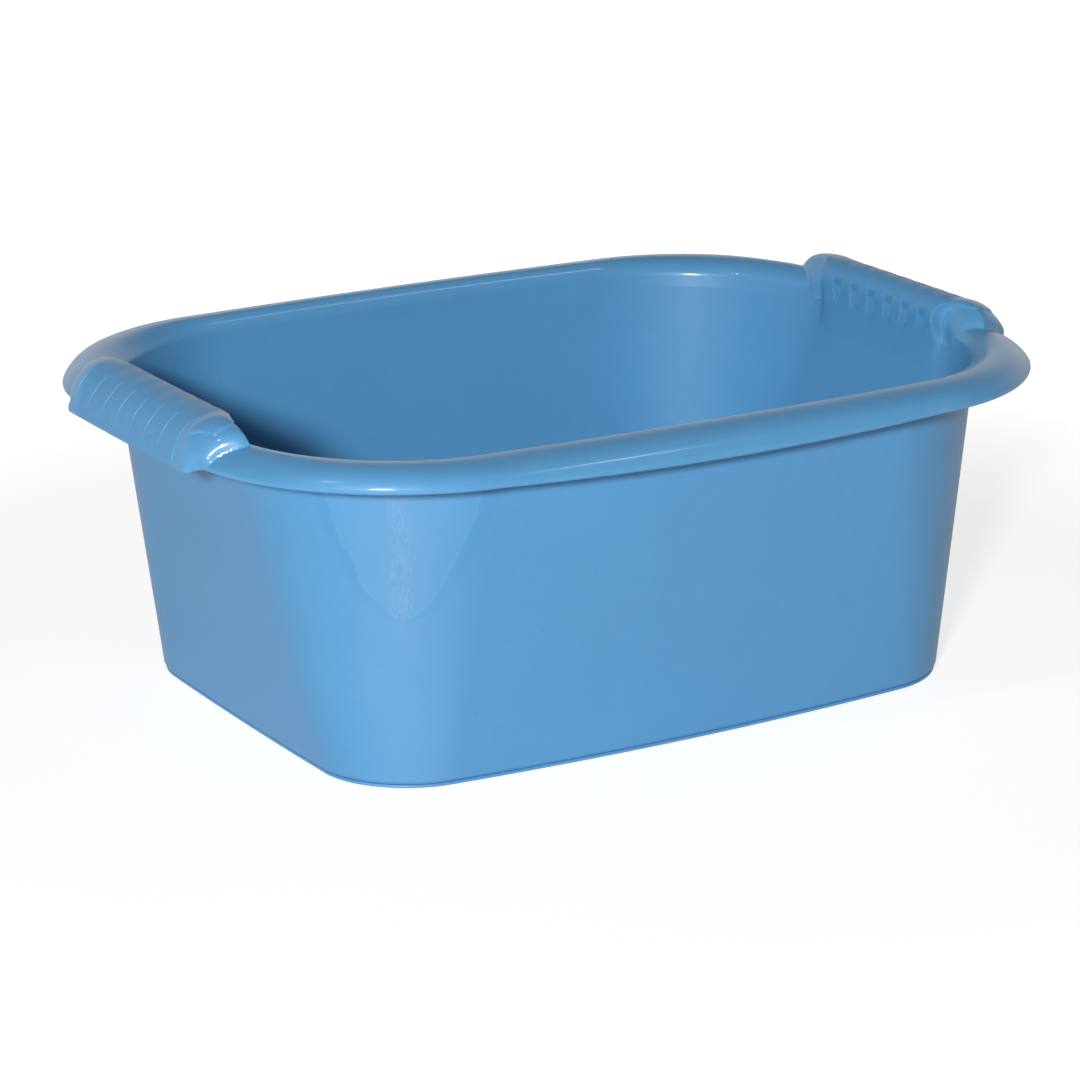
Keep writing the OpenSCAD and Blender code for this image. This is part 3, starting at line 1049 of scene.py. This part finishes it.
class Signal:
    """A number that varies over a surface: a shader socket with Python's operators."""

    def __init__(self, tree: "NodeTree", socket: bpy.types.NodeSocket) -> None:
        """Keep the tree and the socket that gives the number."""
        self.tree = tree
        self.socket = socket

    def joined(self, operation: str, *values: Operand) -> "Signal":
        """Return this signal joined with other values by a Math node."""
        inputs = {0: self}
        inputs.update({i + 1: value for i, value in enumerate(values)})
        return self.tree.make("ShaderNodeMath", {"operation": operation}, inputs)

    def flipped(self, operation: str, value: Operand) -> "Signal":
        """Return a Math node whose first value is the other one."""
        return self.tree.make("ShaderNodeMath", {"operation": operation}, {0: value, 1: self})

    __add__ = operator("ADD")
    __radd__ = operator("ADD", reflected=True)
    __sub__ = operator("SUBTRACT")
    __rsub__ = operator("SUBTRACT", reflected=True)
    __mul__ = operator("MULTIPLY")
    __rmul__ = operator("MULTIPLY", reflected=True)
    __truediv__ = operator("DIVIDE")
    __rtruediv__ = operator("DIVIDE", reflected=True)

    def __abs__(self) -> "Signal":
        """Return the distance from 0."""
        return self.joined("ABSOLUTE")

    def step(self, low: float, high: float, start: float = 0.0, end: float = 1.0) -> "Signal":
        """Return a soft step between two values of this signal.

        Args:
            low: Value at which the step starts.
            high: Value at which it ends, which may be below the start.
            start: What it gives below low.
            end: What it gives above high.

        Returns:
            The stepped signal.
        """
        if low > high:
            low, high, start, end = high, low, end, start
        settings = {"interpolation_type": "SMOOTHSTEP"}
        return self.tree.make("ShaderNodeMapRange", settings,
                              {"Value": self, "From Min": low, "From Max": high,
                               "To Min": start, "To Max": end})


class NodeTree:
    """A material's nodes, all made by one method."""

    def __init__(self, owner: Union[bpy.types.Material, bpy.types.World]) -> None:
        """Clear the nodes of a material or a world, and give it an output.

        Args:
            owner: The material or the world.
        """
        owner.use_nodes = True
        self.owner = owner
        self.nodes = owner.node_tree.nodes
        self.links = owner.node_tree.links
        self.nodes.clear()
        kind = "Material" if isinstance(owner, bpy.types.Material) else "World"
        self.output = self.nodes.new(f"ShaderNodeOutput{kind}")
        self.place = self.make("ShaderNodeTexCoord", {}, {}, "Object")

    @classmethod
    def material(cls, name: str) -> "NodeTree":
        """Return the nodes of a new material."""
        return cls(bpy.data.materials.new(name))

    def make(self, kind: str, settings: dict[str, Any], inputs: dict[Any, Any],
             output: Union[int, str] = 0) -> Signal:
        """Make a node.

        Args:
            kind: The node's type.
            settings: Its properties, which are set first.
            inputs: Values, colours or signals for its sockets, by name or number.
            output: The output that the returned signal carries.

        Returns:
            The node's output as a signal.
        """
        node = self.nodes.new(kind)
        for key, value in settings.items():
            setattr(node, key, value)
        for key, value in inputs.items():
            socket = node.inputs[key]
            if isinstance(value, Signal):
                self.links.new(value.socket, socket)
            else:
                socket.default_value = value
        return Signal(self, node.outputs[output])

    def noise(self, scale: float, detail: float = 2.0, roughness: float = 0.5,
              stretch: Sequence[float] = (1, 1, 1), seed: float = 0.0) -> Signal:
        """Return a noise signal in Object coordinates.

        Args:
            scale: Number of features in a metre.
            detail: Number of finer layers.
            roughness: Strength of the finer layers.
            stretch: Factors on the coordinates.
            seed: Moves the pattern.

        Returns:
            The noise, about 0.5.
        """
        place = self.make("ShaderNodeMapping", {},
                          {"Vector": self.place, "Scale": stretch, "Location": (seed, seed, 0)})
        return self.make("ShaderNodeTexNoise", {"noise_dimensions": "3D"},
                         {"Vector": place, "Scale": scale, "Detail": detail,
                          "Roughness": roughness}, "Fac")

    def cells(self, scale: float, seed: float = 0.0) -> Signal:
        """Return the distance to the nearest of some scattered points, in cells."""
        place = self.make("ShaderNodeMapping", {},
                          {"Vector": self.place, "Location": (seed, seed, seed)})
        return self.make("ShaderNodeTexVoronoi", {"feature": "F1"},
                         {"Vector": place, "Scale": scale}, "Distance")

    def axes(self) -> tuple[Signal, Signal, Signal]:
        """Return the three Object coordinates as signals."""
        split = self.make("ShaderNodeSeparateXYZ", {}, {"Vector": self.place})
        outputs = split.socket.node.outputs
        return tuple(Signal(self, outputs[i]) for i in range(3))

    def blend(self, share: Operand, first: Any, second: Any) -> Signal:
        """Return a mix of two colours."""
        return self.make("ShaderNodeMix", {"data_type": "RGBA", "clamp_factor": True},
                         {0: share, 6: first, 7: second}, 2)

    def bump(self, height: Signal, strength: float, distance: float,
             normal: Union[Signal, None] = None) -> Signal:
        """Return a bumped normal."""
        inputs: dict[Any, Any] = {"Height": height, "Strength": strength, "Distance": distance}
        if normal is not None:
            inputs["Normal"] = normal
        return self.make("ShaderNodeBump", {}, inputs)

    def seen(self, mirrored: float = 1.0) -> Signal:
        """Return 1 for what the camera sees straight, and a share where it sees it mirrored."""
        straight = self.make("ShaderNodeLightPath", {}, {}, "Is Camera Ray")
        outputs = straight.socket.node.outputs
        return (straight + Signal(self, outputs["Is Glossy Ray"]) * mirrored
                + Signal(self, outputs["Is Transmission Ray"]))

    def surface(self, shader: Signal) -> Any:
        """Join a shader to the output and return the material or the world."""
        self.links.new(shader.socket, self.output.inputs["Surface"])
        return self.owner


Colour = tuple[float, float, float, float]


@dataclass(frozen=True)
class FlowMark:
    """The tongue-shaped flow mark on the wall's front left corner, painted paler partly as a
    reflection in its gloss, and a painted highlight down that corner.
    """

    wander_scale: float = 55.0
    wander: float = 8 * MM
    offset: float = 18 * MM
    corner_distance: float = 155 * MM
    top: float = 133 * MM
    foot: float = 75 * MM
    height: float = 51 * MM
    half_width: float = 30 * MM
    power: float = 0.55
    edge: float = 0.6 * MM
    line_half_width: float = 0.9 * MM
    drip_half_width: float = 3.3 * MM
    drip_offset: float = 1.5 * MM
    drip_foot: float = 66 * MM
    drip_line: float = 66.5 * MM
    drip_line_half_width: float = 0.8 * MM
    mottle_scale: float = 900.0
    highlight_streak_half_width: float = 6.5 * MM
    highlight_streak_offset: float = 1 * MM
    highlight_streak_edge: float = 4.5 * MM
    painted_sheen_edge: float = 26 * MM
    band_width: float = 8 * MM
    band_edge: float = 5 * MM

    def shares(self, tree: NodeTree, x: Signal, y: Signal, z: Signal) -> tuple[Signal, ...]:
        """Return how much of each of the mark's colours there is.

        Args:
            tree: The material's nodes.
            x: Object coordinate along the bowl.
            y: Object coordinate across the bowl.
            z: Height above the table.

        Returns:
            The mark and its outline, painted paler partly as a reflection, the painted highlight down
            the corner (a mottled streak and a broad sheen), and the darker band outside.
        """
        wobble = (tree.noise(self.wander_scale, detail=3, seed=11.0) - 0.5) * self.wander
        across = (x - y) * math.sqrt(0.5) + self.offset + wobble
        corner = ((x + y) * math.sqrt(0.5) + self.corner_distance).step(0.0, -6 * MM)
        corner = corner * (self.top - z).step(0.0, 3 * MM)
        level = (z - self.foot + wobble) / self.height
        rise = level.step(0.0, 0.001)
        reach = level.joined("MAXIMUM", 0.0).joined("POWER", self.power) * self.half_width
        inside = (reach - abs(across)).step(-0.2 * MM, self.edge) * rise
        drip = (self.drip_half_width - abs(across + self.drip_offset)).step(0.0, self.edge)
        drip = drip * (z - self.drip_foot + wobble * 0.5).step(0.0, 2 * MM)
        line = (self.line_half_width - abs(reach - abs(across))).step(0.0, 0.5 * MM) * rise
        foot = self.drip_line_half_width - abs(z - self.drip_line + wobble * 0.5)
        foot = foot.step(0.0, 0.4 * MM)
        # The mark and its outline are a real gloss change; their paler colour is partly a painted
        # reflection of that gloss.
        mark = (inside + drip * 0.7).joined("MINIMUM", 1.0) * corner
        outline = (line * 0.8 + foot * drip * 3.0).joined("MINIMUM", 1.0) * corner
        # Painted highlight: a mottled streak and a broad pale sheen down the corner stand in for a
        # lamp's reflection.
        mottle = tree.noise(self.mottle_scale, detail=3, stretch=(1.0, 1.0, 0.35), seed=12.0)
        streak = (self.highlight_streak_half_width - abs(across + self.highlight_streak_offset))
        streak = streak.step(0.0, self.highlight_streak_edge) * mottle.step(0.38, 0.68) * inside
        painted_sheen = (self.half_width - abs(across)).step(0.0, self.painted_sheen_edge)
        glow = (streak * 0.5 + painted_sheen * 0.22) * corner
        band = (reach + self.band_width - abs(across)).step(0.0, self.band_edge)
        halo = band * (abs(across) - reach).step(0.0, self.edge) * rise * corner
        return mark, outline, glow, halo


@dataclass(frozen=True)
class MouldedPlastic:
    """Satin moulded plastic, with flow marks, specks, scuffs and slight unevenness, and a painted
    highlight down the front left corner.
    """

    name: str
    colour: Colour = (0.092, 0.308, 0.568, 1.0)
    pale: Colour = (0.14, 0.38, 0.64, 1.0)
    worn: Colour = (0.21, 0.40, 0.60, 1.0)
    speck: Colour = (0.02, 0.06, 0.11, 1.0)
    # Colour of the painted highlight down the front left corner.
    painted_highlight: Colour = (0.20, 0.37, 0.60, 1.0)
    deep: Colour = (0.072, 0.285, 0.545, 1.0)
    roughness: float = 0.40
    specular: float = 0.40
    gloss: float = 0.05
    gloss_roughness: float = 0.30
    gloss_start: float = -10 * MM
    scuffs: float = 0.5
    grain: float = 0.10
    fine_share: float = 0.6
    cloud_scale: float = 14.0
    cloud_light: float = 1.05
    mottle_scale: float = 160.0
    scratch_scale: float = 70.0
    streak_scale: float = 420.0
    patch_scale: float = 9.0
    speck_scale: float = 240.0
    speck_spread: float = 60.0
    peel_scale: float = 260.0
    peel_height: float = 0.4 * MM
    grain_scale: float = 1700.0
    grain_height: float = 0.08 * MM
    gloss_edge: float = 6 * MM
    refraction: float = 1.49

    def build(self) -> bpy.types.Material:
        """Return the material."""
        tree = NodeTree.material(self.name)
        x, y, z = tree.axes()
        cloudy = tree.noise(self.cloud_scale, detail=3, seed=2.0)
        mottle = tree.noise(self.mottle_scale, detail=2, seed=5.0)
        colour = tree.blend(cloudy.step(0.25, 0.8), self.colour,
                            tuple(c * self.cloud_light for c in self.colour[:3]) + (1.0,))
        colour = tree.blend(mottle.step(0.45, 0.75) * 0.10, colour, self.pale)
        scratch = tree.noise(self.scratch_scale, detail=3, roughness=0.7,
                             stretch=(0.25, 1.0, 0.25), seed=9.0)
        streak = tree.noise(self.streak_scale, detail=2, stretch=(1.0, 1.0, 0.05), seed=4.0)
        patch = tree.noise(self.patch_scale, detail=2, seed=1.0).step(0.52, 0.72)
        scuff = (scratch.step(0.62, 0.80) * 0.6 + streak.step(0.66, 0.85) * 0.4) * patch
        colour = tree.blend(scuff * (0.35 * self.scuffs), colour, self.worn)
        dots = tree.cells(self.speck_scale, seed=3.0).step(0.085, 0.03)
        chosen = tree.noise(self.speck_spread, detail=1, seed=8.0).step(0.60, 0.66)
        colour = tree.blend(dots * chosen * 0.55, colour, self.speck)
        mark, outline, glow, halo = FlowMark().shares(tree, x, y, z)
        colour = tree.blend(halo * 0.5, colour, self.deep)
        # The glossier flow mark is also painted paler, as a painted reflection of its gloss.
        colour = tree.blend(mark * 0.12 + outline * 0.22, colour, self.pale)
        # Painted highlight down the front left corner, laid into the colour.
        colour = tree.blend(glow, colour, self.painted_highlight)
        rough = self.roughness + (cloudy - 0.5) * 0.10 + scuff * 0.16 - mark * 0.05
        shiny = abs(y).step(self.gloss_start, self.gloss_start + self.gloss_edge)
        gloss = shiny * (1 - scuff * 0.5) * self.gloss + mark * 0.06
        peel = tree.noise(self.peel_scale, detail=2, seed=6.0)
        normal = tree.bump(peel, self.grain, self.peel_height)
        fine = tree.noise(self.grain_scale, detail=2, seed=7.0)
        normal = tree.bump(fine, self.grain * self.fine_share, self.grain_height, normal)
        shader = tree.make("ShaderNodeBsdfPrincipled", {}, {
            "Base Color": colour, "Roughness": rough, "Normal": normal, "Coat Weight": gloss,
            "Coat Roughness": self.gloss_roughness, "IOR": self.refraction,
            "Specular IOR Level": self.specular})
        return tree.surface(shader)


@dataclass(frozen=True)
class StudioFloor:
    """Pale paper that the bowl stands on, bright to the camera but with the bowl's shadow."""

    colour: Colour = (0.90, 0.90, 0.90, 1.0)
    glow: float = 1.32
    mirrored: float = 0.6
    near_share: float = 0.60
    far_share: float = 0.80
    near: float = 0.30
    far: float = 0.62
    grain_scale: float = 30.0
    grain_shade: float = 0.99

    def build(self) -> bpy.types.Material:
        """Return the material."""
        tree = NodeTree.material("studio_paper")
        grain = tree.noise(self.grain_scale, detail=3)
        colour = tree.blend(grain.step(0.3, 0.7), self.colour,
                            tuple(c * self.grain_shade for c in self.colour[:3]) + (1.0,))
        paper = tree.make("ShaderNodeBsdfDiffuse", {}, {"Color": colour})
        glow = tree.make("ShaderNodeEmission", {},
                         {"Color": (1.0, 1.0, 1.0, 1.0), "Strength": self.glow})
        x, y, _ = tree.axes()
        distance = (x * x + y * y).joined("SQRT")
        share = distance.step(self.near, self.far, self.near_share, self.far_share)
        shader = tree.make("ShaderNodeMixShader", {},
                           {0: tree.seen(self.mirrored) * share, 1: paper, 2: glow})
        return tree.surface(shader)


@dataclass(frozen=True)
class Lamp:
    """A soft box, placed by its direction from the bowl."""

    name: str
    azimuth: float
    elevation: float
    distance: float
    width: float
    height: float
    power: float

    def build(self, target: Vector) -> bpy.types.Object:
        """Return the lamp, aimed at the target.

        Args:
            target: The point that it lights.

        Returns:
            The lamp's object.
        """
        data = bpy.data.lights.new(self.name, "AREA")
        data.shape = "RECTANGLE"
        data.size = self.width
        data.size_y = self.height
        data.energy = self.power
        lamp = bpy.data.objects.new(self.name, data)
        bpy.context.scene.collection.objects.link(lamp)
        direction = toward(self.azimuth, self.elevation)
        lamp.location = target + direction * self.distance
        lamp.rotation_euler = direction.to_track_quat("Z", "Y").to_euler()
        return lamp


def toward(azimuth: float, elevation: float) -> Vector:
    """Return a direction, with azimuth 0 in front of the bowl and to the right above 0."""
    turn, rise = math.radians(azimuth), math.radians(elevation)
    return Vector((math.sin(turn) * math.cos(rise), -math.cos(turn) * math.cos(rise),
                   math.sin(rise)))


@dataclass(frozen=True)
class Studio:
    """The floor, the lamps, the surroundings and the camera."""

    azimuth: float = -31.16
    elevation: float = 16.93
    distance: float = 1752.06 * MM
    focal_pixels: float = 3973.7
    middle_x: float = 550.16
    middle_y: float = 513.15
    aim: tuple[float, float, float] = (0.0, 0.0, 70 * MM)
    floor_width: float = 14.0
    fill: float = 0.06
    room: float = 0.25
    behind_edge: float = 0.35
    low_start: float = 0.62
    low_end: float = 0.32
    sight: float = 100.0
    lamps: tuple[Lamp, ...] = (
        Lamp("key_box", -39.5, 19.3, 3.0, 0.24, 0.24, 79),
        Lamp("top_box", 42, 48, 2.6, 0.13, 0.13, 2.2),
        Lamp("side_box", -75, 52, 2.4, 0.13, 0.13, 3.6),
    )

    def build(self) -> None:
        """Make everything and set the scene's view."""
        self.make_floor()
        target = Vector(self.aim)
        for lamp in self.lamps:
            lamp.build(target)
        self.make_world()
        self.make_camera(target)
        view = bpy.context.scene.view_settings
        view.view_transform = "Standard"

    def make_floor(self) -> None:
        """Make the pale floor."""
        mesh = bmesh.new()
        bmesh.ops.create_grid(mesh, x_segments=1, y_segments=1, size=self.floor_width / 2)
        data = bpy.data.meshes.new("studio_floor")
        mesh.to_mesh(data)
        mesh.free()
        floor = bpy.data.objects.new("studio_floor", data)
        bpy.context.scene.collection.objects.link(floor)
        data.materials.append(StudioFloor().build())

    def make_world(self) -> None:
        """Make the even surroundings, which mirror white behind the bowl and dim in front."""
        world = bpy.data.worlds.new("studio_air")
        bpy.context.scene.world = world
        tree = NodeTree(world)
        direction = tree.make("ShaderNodeTexCoord", {}, {}, "Generated")
        split = tree.make("ShaderNodeSeparateXYZ", {}, {"Vector": direction})
        behind = Signal(tree, split.socket.node.outputs["Y"]).step(-self.behind_edge, self.behind_edge)
        low = Signal(tree, split.socket.node.outputs["Z"]).step(self.low_start, self.low_end)
        fill = tree.make("ShaderNodeBackground", {},
                         {"Color": (1.0, 1.0, 1.0, 1.0), "Strength": self.fill})
        shown = tree.make("ShaderNodeBackground", {},
                          {"Color": (1.0, 1.0, 1.0, 1.0),
                           "Strength": behind * low * (1 - self.room) + self.room})
        tree.surface(tree.make("ShaderNodeMixShader", {},
                               {0: tree.seen(), 1: fill, 2: shown}))

    def make_camera(self, target: Vector) -> None:
        """Make the camera at the photograph's viewing angle.

        Args:
            target: The point that it looks at.
        """
        data = bpy.data.cameras.new("camera")
        camera = bpy.data.objects.new("camera", data)
        bpy.context.scene.collection.objects.link(camera)
        back = toward(self.azimuth, self.elevation)
        camera.location = target + back * self.distance
        camera.rotation_euler = back.to_track_quat("Z", "Y").to_euler()
        data.sensor_width = SENSOR_WIDTH
        data.lens = self.focal_pixels / PHOTO_PIXELS * SENSOR_WIDTH
        data.shift_x = -(self.middle_x - PHOTO_PIXELS / 2) / PHOTO_PIXELS
        data.shift_y = (self.middle_y - PHOTO_PIXELS / 2) / PHOTO_PIXELS
        data.clip_end = self.sight
        bpy.context.scene.camera = camera


class Bowl:
    """The whole bowl: it builds its pieces and dresses them."""

    def __init__(self) -> None:
        """Work out the shape and the stations."""
        self.moulding = Moulding(BowlSizes(), GripSizes())
        self.round = Round(self.moulding)

    def build(self) -> None:
        """Build every piece in order and report it."""
        basin = Basin(self.moulding, self.round)
        shell = MouldedPlastic("moulded_shell").build()
        glossy = MouldedPlastic("moulded_rim", specular=0.34, gloss=0.36,
                                gloss_roughness=0.13).build()
        hood = MouldedPlastic("moulded_grip", scuffs=0.9, specular=0.30, gloss=0.36,
                              gloss_roughness=0.12, gloss_start=43 * MM).build()
        self.add(basin.floor(), shell, "basin_floor")
        self.add(basin.bead(), shell, "foot_bead")
        self.add(basin.wall(), shell, "basin_wall")
        for side in Side:
            rim = Rim(self.moulding, self.round, side).build()
            self.add(rim, glossy, f"{side.name.lower()}_rim")
        for end in End:
            grip = Grip(self.moulding, self.round, end).build()
            self.add(grip, hood, f"{end.name.lower()}_grip")

    @staticmethod
    def add(piece: bpy.types.Object, material: bpy.types.Material, *nodes: str) -> None:
        """Dress a piece and set it on the frame.

        Args:
            piece: The finished piece.
            material: Its material.
            nodes: The frame's nodes that it stands for.
        """
        piece.data.materials.append(material)
        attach(piece, BODY)
        if nodes:
            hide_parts(*nodes)
        LOG.info("%s: %d faces, stands for %s", piece.name, len(piece.data.polygons),
                 ", ".join(nodes) or "nothing")


def main() -> None:
    """Build the bowl and its studio."""
    logging.basicConfig(level=logging.INFO, format="%(name)s: %(message)s")
    Bowl().build()
    Studio().build()
    bpy.context.view_layer.update()


if __name__ == "__main__":
    main()
